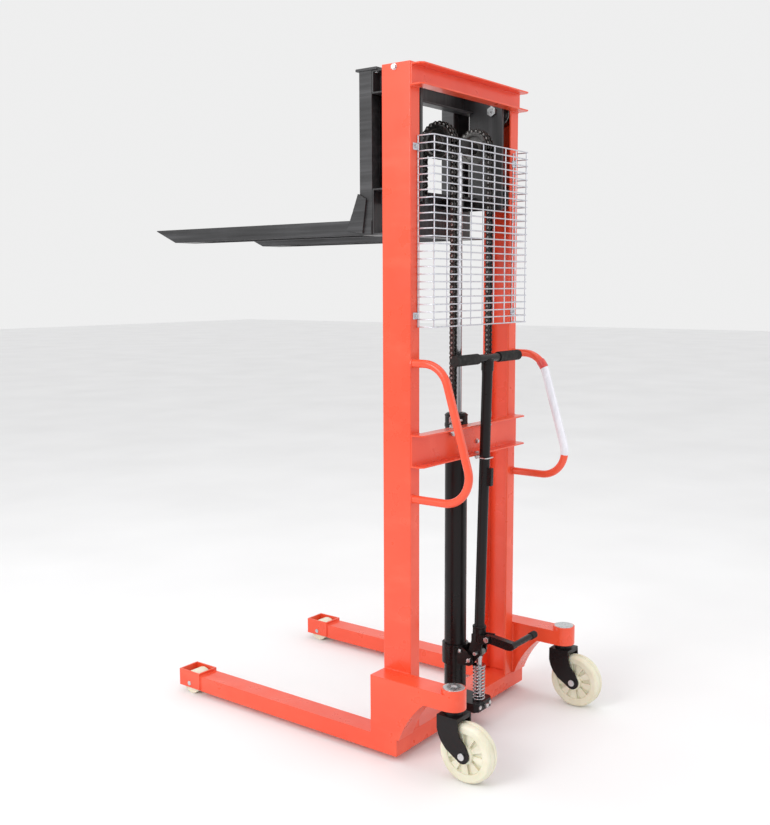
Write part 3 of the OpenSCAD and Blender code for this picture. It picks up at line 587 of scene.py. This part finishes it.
# Wire guard: round wires, each horizontal bent forward to the columns, and four tabs
tool = bmesh.new()
for i in range(26):
    z = GUARD_LOW + 2 + i * 560 / 25
    bent = [(-GUARD_X, -4, z), (-GUARD_X, GUARD_Y, z), (GUARD_X, GUARD_Y, z), (GUARD_X, -4, z)]
    tube(tool, fillet_path(bent, 9, 5), 2.0, 8)
for i in range(9):
    x = -271 + i * 542 / 8
    tube(tool, [at(x, GUARD_Y + 3.6, GUARD_LOW), at(x, GUARD_Y + 3.6, GUARD_TOP)], 2.0, 8)
for side in (-1, 1):
    tube(tool, [at(side * 277, -2.4, GUARD_LOW), at(side * 277, -2.4, GUARD_TOP)], 2.1, 8)
emit("guard_wires", tool, "mast", WIRE, ("wire_guard",))

tool = bmesh.new()
for side in (-1, 1):
    for z in GUARD_TAB_Z:
        prism(tool, block_outline(10, 10), along("-y", side * 291, -0.4, z), 0, 1.8)
        prism(tool, block_outline(7, 9), along("-y", side * 278, -1.0, z), 0, 1.4)
emit("guard_tabs", tool, "mast", WIRE, (), 0.5)

# Screws and bolts of the frame
tool = bmesh.new()
for side, axis in ((-1, "-x"), (1, "x")):
    hex_bolt(tool, along(axis, side * COL_X, 57.2, 2093), 15, 6.2, 19)
    for z in GUARD_TAB_Z:
        hex_bolt(tool, along("-y", side * 291, -2.2, z), 9, 4.4, 12.5)
emit("frame_bolt_heads", tool, "mast", ZINC, ("frame_bolts",), 0.35)
tool = bmesh.new()
for x in (55, -55):
    hex_bolt(tool, along("-y", x, -5, 949), 12, 6, 17)
emit("beam_bolt_heads", tool, "mast", ZINC, (), 0.35)

# Chain anchors: threaded rods with two nuts and a forked chain end
tool = bmesh.new()
for side in (-1, 1):
    place = along("z", side * CHAIN_X, CHAIN_REAR_Y, 0)
    ridges = [(986 + 0.75 * i, 7 if i % 2 else 6.2) for i in range(1, 53)]
    lathe(tool, [(986, 0), (986, 6.2)] + ridges + [(1026, 0)], place, 24)
    prism(tool, hexagon(19), place, 1012, 1021)
    prism(tool, hexagon(21), place, 996, 1007)
    lathe(tool, [(1012, 0), (1012, 13), (1013.4, 13), (1013.4, 0)], place, 28)
    for s in (-1, 1):
        cheek = along("x", side * CHAIN_X + s * 9.4, CHAIN_REAR_Y, 1034)
        prism(tool, [(-14, -6), (-14, 6), (-10, 8), (6, 8), (10, 5), (10, -5), (6, -8), (-10, -8)],
              cheek, -1.5, 1.5)
    prism(tool, block_outline(10.9, 8), place, 1025, 1030)
    lathe(tool, [(-11.8, 0), (-11.8, 3.2), (11.8, 3.2), (11.8, 0)],
          along("x", side * CHAIN_X, CHAIN_REAR_Y, 1040), 20)
emit("chain_anchor_rods", tool, "mast", ZINC, ("chain_anchors",), 0.35)


# ---------------------------------------------------------------- chains

def link_plate(p, q, radius, waist):
    """Figure-eight outline of a chain's side plate between two pins."""
    ahead = (q - p).normalized()
    side = Vector((-ahead.y, ahead.x))
    outline = []
    for centre, start, sign in ((q, -70, 1), (p, 110, -1)):
        for i in range(7):
            a = radians(start + 140 * i / 6)
            outline.append(centre + radius * (cos(a) * ahead + sin(a) * side))
        outline.append((p + q) / 2 + sign * waist * side)
    return outline


def chain_run(tool, pin_tool, x, pins, first):
    """Link plates and bushes in one mesh and pins in another, through (y, z) places in millimetres."""
    pins = [Vector(p) for p in pins]
    flat = along("x", x, 0, 0)
    for i, (p, q) in enumerate(zip(pins, pins[1:])):
        outer = (i + first) % 2
        for s in (-1, 1):
            near = 8.5 if outer else 6.4
            low, high = sorted((s * near, s * (near + 1.9)))
            outline = [(-point.y, point.x) for point in link_plate(p, q, 8.8, 6.4)]
            prism(tool, outline, flat, low, high)
    for p in pins:
        place = along("x", x, p.x, p.y)
        lathe(pin_tool, [(-11.8, 0), (-11.8, 2.6), (-11, 3.7), (11, 3.7), (11.8, 2.6), (11.8, 0)],
              place, 12)
        lathe(tool, [(-6.3, 0), (-6.3, 5.4), (6.3, 5.4), (6.3, 0)], place, 16)


REAR_LINKS = 54
FRONT_LINKS = 10
WRAP_LINKS = 11
rear, wrap, front = bmesh.new(), bmesh.new(), bmesh.new()
rear_pins, wrap_pins, front_pins = bmesh.new(), bmesh.new(), bmesh.new()
for side in (-1, 1):
    step = (SHEAVE_Z - ANCHOR_Z) / REAR_LINKS
    chain_run(rear, rear_pins, side * CHAIN_X,
              [(CHAIN_REAR_Y, ANCHOR_Z + i * step) for i in range(REAR_LINKS + 1)], 0)
    arc = [pi - pi * i / WRAP_LINKS for i in range(WRAP_LINKS + 1)]
    chain_run(wrap, wrap_pins, side * CHAIN_X,
              [(RAM_Y + SHEAVE_R * cos(a), SHEAVE_Z + SHEAVE_R * sin(a)) for a in arc], 1)
    step = (SHEAVE_Z - BRACKET_TOP) / FRONT_LINKS
    chain_run(front, front_pins, side * CHAIN_X,
              [(CHAIN_FRONT_Y, SHEAVE_Z - i * step) for i in range(FRONT_LINKS + 1)], 0)
for tool, name, look, replaced in ((rear, "rear_chain_links", CHAIN, ("rear_chains",)),
                                   (rear_pins, "rear_chain_pins", PIN, ())):
    piece = emit(name, tool, "mast", look, replaced)
    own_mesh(piece)
emit("wrapped_chain_links", wrap, "ram", CHAIN, ("chain_wraps",))
emit("wrapped_chain_pins", wrap_pins, "ram", PIN)
for tool, name, look, replaced in ((front, "front_chain_links", CHAIN, ("front_chains",)),
                                   (front_pins, "front_chain_pins", PIN, ())):
    piece = emit(name, tool, None, look, replaced)
    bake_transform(piece)


# ---------------------------------------------------------------- ram

tool = bmesh.new()
lathe(tool, rounded([(92, 0), (92, 37.6), (97, 37.6), (99, 36.5), (GLAND_LOW, 36.5), (GLAND_LOW, 0)], 1.5),
      along("z", 0, RAM_Y, 0), 72)
emit("lift_cylinder_tube", tool, "mast", BLACK, ("lift_cylinder",))

tool = bmesh.new()
lathe(tool, rounded([(GLAND_LOW, 30), (GLAND_LOW, 38.5), (1012, 38.5), (1013, 37), (1036, 37), (1037.5, 38.3),
                     (1040, 38.3), (GLAND_TOP, 30), (GLAND_TOP, 21), (1043, 19), (1043, 17.2),
                     (GLAND_LOW, 17.2)], 2.2),
      along("z", 0, RAM_Y, 0), 72, closed=True)
for i in range(6):
    a = 2 * pi * i / 6 + 0.3
    prism(tool, block_outline(3, 1.2),
          along("z", 26 * cos(a), RAM_Y + 26 * sin(a), 0), 1043, 1046.4)
emit("gland_nut", tool, "mast", BLACK, ("cylinder_gland",))
tool = bmesh.new()
hex_bolt(tool, along("-y", -22, 10.5, 1025), 8, 7, None)
emit("bleed_screw", tool, "mast", ZINC, (), 0.3)

tool = bmesh.new()
lathe(tool, [(887, 0), (887, 29.5), (917, 29.5), (917, 17), (1875, 17), (1875, 0)],
      along("z", 0, RAM_Y, 0), 64)
emit("piston_rod_bar", tool, "ram", CHROME, ("piston_rod",), 0.4)
dress("crosshead", 3.0)
dress("sheave_axle", 0.8)
for side, node in ((-1, "sheave_left"), (1, "sheave_right")):
    tool = bmesh.new()
    place = along("x", side * CHAIN_X, RAM_Y, SHEAVE_Z)
    half = [(12.3, 46.7), (12.3, 51.7), (14.3, 51.7), (14.3, 41), (9, 38), (9, 24), (14.3, 22), (14.3, 12.6)]
    lathe(tool, rounded(mirrored(half), 0.7), place, 72, closed=True)
    emit(node + "_wheel", tool, node, GROUND, (node,))

# ---------------------------------------------------------------- carriage

dress("side_plates", 1.4, SHANK)
dress("upper_crossbar", 2.0, SHANK)
dress("lower_crossbar", 2.0, SHANK)
dress("chain_brackets", 1.6, SHANK)
for node in ("fork_left", "fork_right"):
    dress(node, 1.8, FORK)
dress("carriage_pins", 1.0)
tool = bmesh.new()
for side, axis in ((-1, "-x"), (1, "x")):
    hex_bolt(tool, along("-z", side * 262, 160, 2104), 13, 7, 18)
    hex_bolt(tool, along(axis, side * 241, 120, 2075), 14, 6, 19)
    hex_bolt(tool, along(axis, side * 241, 27, 1890), 13, 6, 18)
    hex_bolt(tool, along(axis, side * 241, 132, 1890), 13, 6, 18)
emit("carriage_bolts", tool, "carriage", ZINC, (), 0.35)
for side, where in ((-1, "left"), (1, "right")):
    tool = bmesh.new()
    weld(tool, (side * 176, 172, 1661), (side * 274, 172, 1661), 2.4)
    weld(tool, (side * 275.5, 172, 1616), (side * 275.5, 172, 1658), 2.4)
    weld(tool, (side * 276, 190, 1722), (side * 276, 219, 1738), 2.6)
    weld(tool, (side * 276, 222, 1738), (side * 276, 266, 1632), 2.6)
    weld(tool, (side * 176, 219.5, 1661), (side * 274, 219.5, 1661), 2.6)
    weld(tool, (side * 177, 219, 2103), (side * 273, 219, 2103), 2.0)
    emit("carriage_weld_" + where, tool, "carriage", BLACK)

for level, height in (("upper", 2034), ("lower", 1754)):
    for side, where in ((-1, "left"), (1, "right")):
        node = f"guide_roller_{level}_{where}"
        tool = bmesh.new()
        half = [(14, 43.4), (16, 41.5), (16, 34), (14.6, 33), (14.6, 21), (16, 20), (16, 12.3)]
        lathe(tool, rounded(mirrored(half), 0.6), along("x", side * GUIDE_X, GUIDE_Y, height), 72, closed=True)
        emit(node + "_tyre", tool, node, GROUND, (node,))

# ---------------------------------------------------------------- pump and handle

dress("pump_body", 2.4)
dress("pump_clamp", 1.6)
dress("pump_lever", 1.6)
dress("foot_pedal", 2.0)
dress("lever_bolts", 0.8)
dress("release_valve", 0.7)
dress("lever_roller", 1.0)
tool = bmesh.new()
lathe(tool, rounded([(-37, 0), (-37, 7), (37, 7), (37, 0)], 1.2), along("x", 0, *LEVER_PIN), 32)
for s in (-1, 1):
    tube(tool, fillet_path([(s * 34.4, -26, 221), (s * 34.4, *LEVER_PIN), (s * 34.6, -42, 240)], 3, 4), 1.4, 8)
emit("lever_pin_bar", tool, "mast", ZINC, ("lever_pin",))
tool = bmesh.new()
for x in (-33, 33):
    hex_bolt(tool, along("-y", x, 2, 256), 12, 6, 16)
for x in (-20, 20):
    hex_bolt(tool, along("z", x, 70, 92), 13, 6, 17)
for x in (-30, 30):
    lathe(tool, rounded([(0, 0), (0, 7), (2.6, 7), (2.6, 3.6), (1.4, 3), (1.4, 0)], 0.4),
          along("-y", x, -78, 77), 28)
emit("pump_screws", tool, "mast", ZINC, (), 0.35)

tool = bmesh.new()
for i in range(8):
    lathe(tool, rounded([(0, 9.6), (0, 12.4), (1.8, 12.4), (1.8, 9.6)], 0.6, 2),
          along("x", 119 + i * 3.2, *PEDAL), 32, closed=True)
lathe(tool, rounded([(143.4, 0), (143.4, 12.3), (146.8, 11.2), (146.8, 0)], 0.8), along("x", 0, *PEDAL), 32)
emit("pedal_sleeve", tool, "lever", RUBBER)

tool = bmesh.new()
lathe(tool, rounded([(-2, 14), (-2, 17), (32.3, 17), (32.3, 21.5), (34, 23), (38.5, 23), (40.3, 21.5),
                     (40.3, 17), (870, 17), (884, 18), (916, 18), (916, 14)], 1.2),
      at_socket(), 48, closed=True)
emit("handle_tube_bar", tool, "handle", BLACK, ("handle_tube",))
tool = bmesh.new()
prism(tool, [(-8, -31), (8, -31), (8, -12), (-8, -12)], at_socket(), 512, 570)
emit("handle_lug", tool, "handle", BLACK, (), 2.2)

crossways = at_socket(HANDLE_L) @ Matrix.Rotation(pi / 2, 4, "Y")
tool = bmesh.new()
lathe(tool, rounded([(-189, 0), (-189, 13), (189, 13), (189, 0)], 1.6), crossways, 48)
lathe(tool, rounded([(-40, 17), (-40, 19.8), (-16, 20), (-4, 20), (0, 16), (0, 10)], 2.0),
      at_socket(HANDLE_L), 40)
emit("t_bar_casting", tool, "handle", BLACK, ("t_bar",))
tool = bmesh.new()
for s in (-1, 1):
    ribs = [(s * (62 + i * 1.6), 16.9 if i % 4 in (1, 2) else 16.3) for i in range(79)]
    cap = [(s * 189.5, 16.8), (s * 191.8, 14.5), (s * 191.8, 0)]
    lathe(tool, [(s * 62, 13.1)] + ribs + cap, crossways, 40)
emit("grip_sleeves", tool, "handle", RUBBER, ("handle_grips",))

tool = bmesh.new()
lathe(tool, rounded([(89, 0), (89, 9), (207, 9), (207, 22), (211, 22), (211, 9.2), (233.7, 9.2), (233.7, 11),
                     (242.7, 11), (242.7, 0)], 0.8), along("z", 0, PLUNGER_Y, 0), 48)
emit("plunger_bar", tool, "plunger", CHROME, ("pump_plunger",))

SPRING_LOW, SPRING_TOP, COILS = 92, 207, 10.5
tool = bmesh.new()
points = []
for i in range(int(COILS * 40) + 1):
    turn = i / 40
    flat_start = 0.5 * (1 - min(1, turn)) ** 2
    flat_end = 0.5 * (1 - min(1, COILS - turn)) ** 2
    rise = (turn - 0.5 + flat_start - flat_end) / (COILS - 1)
    z = SPRING_LOW + 2.5 + (SPRING_TOP - SPRING_LOW - 5) * min(1, max(0, rise))
    points.append(at(18.5 * cos(2 * pi * turn), PLUNGER_Y + 18.5 * sin(2 * pi * turn), z))
tube(tool, points, 2.5, 12)
spring = emit("pump_spring_coil", tool, "mast", CHROME, ("pump_spring",))
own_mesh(spring)

# Wire hook round the back of the handle, held by a bolt in the middle beam's lower flange
tool = bmesh.new()
bent = [(HOOK_X, -32), (HOOK_X, -89.8), (-20.5, -89.8), (-20.5, -60)]
tube(tool, fillet_path([(x, y, HOOK_Z) for x, y in bent], 7, 6), 2.0, 12)
lathe(tool, [(896.5, 0), (896.5, 4), (922, 4), (922, 0)], along("z", HOOK_X, HOOK_Y, 0), 20)
prism(tool, hexagon(12), along("z", HOOK_X, HOOK_Y, 0), 900.3, 906.8)
prism(tool, hexagon(12), along("z", HOOK_X, HOOK_Y, 0), 917.2, 921.6)
lathe(tool, [(907, 3), (907, 8.5), (909, 8.5), (909, 3)], along("z", HOOK_X, HOOK_Y, 0), 28, closed=True)
emit("handle_clip_hook", tool, "mast", ZINC, ("handle_clip",), 0.3)

# ---------------------------------------------------------------- casters and rollers

for side, where in ((-1, "left"), (1, "right")):
    dress("caster_fork_" + where, 1.8)
    dress("caster_bolts_" + where, 1.0)
    tool = bmesh.new()
    hub = along("x", side * LEG_X, WHEEL_Y, WHEEL_Z)
    half = [(4, 86.5), (5, 90), (13, 89.4), (20, 87), (24, 82), (23.6, 66), (22, 61.5), (12, 60), (12, 29),
            (27, 28), (30, 24), (30, 8.2)]
    lathe(tool, rounded(mirrored(half), 1.4), hub, 96, closed=True)
    for i in range(9):
        turned = hub @ Matrix.Rotation(2 * pi * i / 9, 4, "Z")
        prism(tool, [(26, -6), (61, -13), (61, 13), (26, 6)], turned, -20, 20)
    emit("caster_tyre_" + where, tool, "wheel_" + where, NYLON, ("caster_wheel_" + where,), 0.9)

    tool = bmesh.new()
    half = [(31, 40), (33, 38), (33, 34), (31.4, 33), (31.4, 19), (33, 18), (33, 8.2)]
    lathe(tool, rounded(mirrored(half), 0.9), along("x", side * LEG_X, *LOAD_ROLLER), 72, closed=True)
    node = "front_roller_" + where
    emit("load_roller_" + where, tool, node, NYLON, (node,))

tool = bmesh.new()
for side in (-1, 1):
    place = along("x", side * LEG_X, *LOAD_ROLLER)
    lathe(tool, rounded([(-44.4, 0), (-44.4, 8), (44.4, 8), (44.4, 0)], 1.2), place, 32)
emit("roller_axle_bars", tool, "mast", ZINC, ("roller_axles",))

# ---------------------------------------------------------------- floor, light and camera

floor_look = Look("floor", Specular_IOR_Level=0.2)
floor_look.colour(floor_look.ramp(floor_look.noise(1.2, detail=2), (0.3, (0.86, 0.86, 0.865)),
                                  (0.7, (0.90, 0.90, 0.905))))
floor_look.roughness(floor_look.span(floor_look.noise(6, detail=2), 0.3, 0.7, 0.6, 0.8))
mesh = bpy.data.meshes.new("floor")
mesh.from_pydata([(-30, -30, 0), (30, -30, 0), (30, 30, 0), (-30, 30, 0)], [], [(0, 1, 2, 3)])
floor = bpy.data.objects.new("floor", mesh)
mesh.materials.append(floor_look.material)
bpy.context.scene.collection.objects.link(floor)

world = bpy.data.worlds.new("studio")
world.use_nodes = True
world.node_tree.nodes["Background"].inputs["Color"].default_value = (1.0, 1.0, 1.0, 1)
world.node_tree.nodes["Background"].inputs["Strength"].default_value = 0.86
bpy.context.scene.world = world
bpy.context.scene.view_settings.view_transform = "Standard"


def softbox(name, place, aim, size, power):
    lamp = bpy.data.lights.new(name, "AREA")
    lamp.shape = "RECTANGLE"
    lamp.size, lamp.size_y = size
    lamp.energy = power
    made = bpy.data.objects.new(name, lamp)
    made.location = place
    made.rotation_euler = (Vector(aim) - Vector(place)).to_track_quat("-Z", "Y").to_euler()
    bpy.context.scene.collection.objects.link(made)


softbox("key", (-4.2, 0.6, 3.2), (0, 0, 1.0), (2.4, 2.4), 100)
softbox("fill", (1.6, -4.6, 2.4), (0, 0, 1.0), (2.6, 2.6), 28)
softbox("top", (0, 0, 5.0), (0, 0, 0), (3.0, 3.0), 42)

FOCAL_PX = 1029.3
LONG_SIDE_PX = 825
eye = Vector((-2.807, -2.2095, 1.460))
yaw, pitch, roll = radians(52.89), radians(-7.04), radians(-0.22)
ahead = Vector((sin(yaw) * cos(pitch), cos(yaw) * cos(pitch), sin(pitch)))
level = Vector((cos(yaw), -sin(yaw), 0))
up = level.cross(ahead)
right = level * cos(roll) + up * sin(roll)
top = up * cos(roll) - level * sin(roll)
lens = bpy.data.cameras.new("view")
lens.sensor_width = 36
lens.lens = 36 * FOCAL_PX / LONG_SIDE_PX
lens.clip_start = 0.05
camera = bpy.data.objects.new("view", lens)
camera.matrix_world = Matrix((
    (right.x, top.x, -ahead.x, eye.x),
    (right.y, top.y, -ahead.y, eye.y),
    (right.z, top.z, -ahead.z, eye.z),
    (0, 0, 0, 1)))
bpy.context.scene.collection.objects.link(camera)
bpy.context.scene.camera = camera
